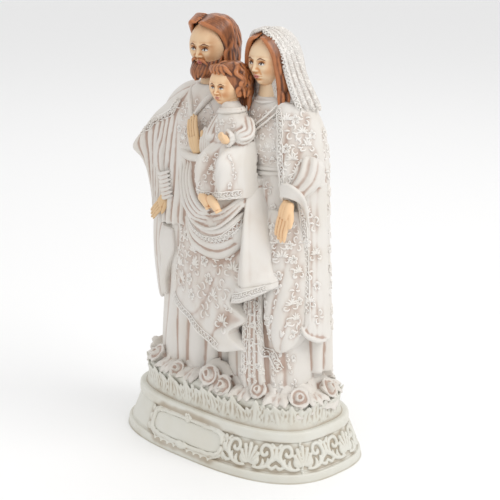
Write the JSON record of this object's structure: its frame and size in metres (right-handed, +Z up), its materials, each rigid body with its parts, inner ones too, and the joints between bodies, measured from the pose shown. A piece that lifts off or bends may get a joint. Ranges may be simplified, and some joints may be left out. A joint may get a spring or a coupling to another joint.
{
  "type": "holy family statue",
  "caption": "Small cast-resin figure group of a bearded man, a veiled woman and a seated child in ivory robes, standing among roses on an oval plinth with a blank cartouche",
  "frame": {"origin": "middle of the plinth's flat underside", "axes": "+Z up, -Y towards the front of the statue, +X towards the woman's side"},
  "size_m": [0.1261, 0.0766, 0.2043],
  "materials": {
    "painted_resin": "ivory paint with a pinkish-brown wash in the hollows"
  },
  "bodies": {
    "root": {"holy_family_statue": "painted_resin"}
  },
  "joints": []
}
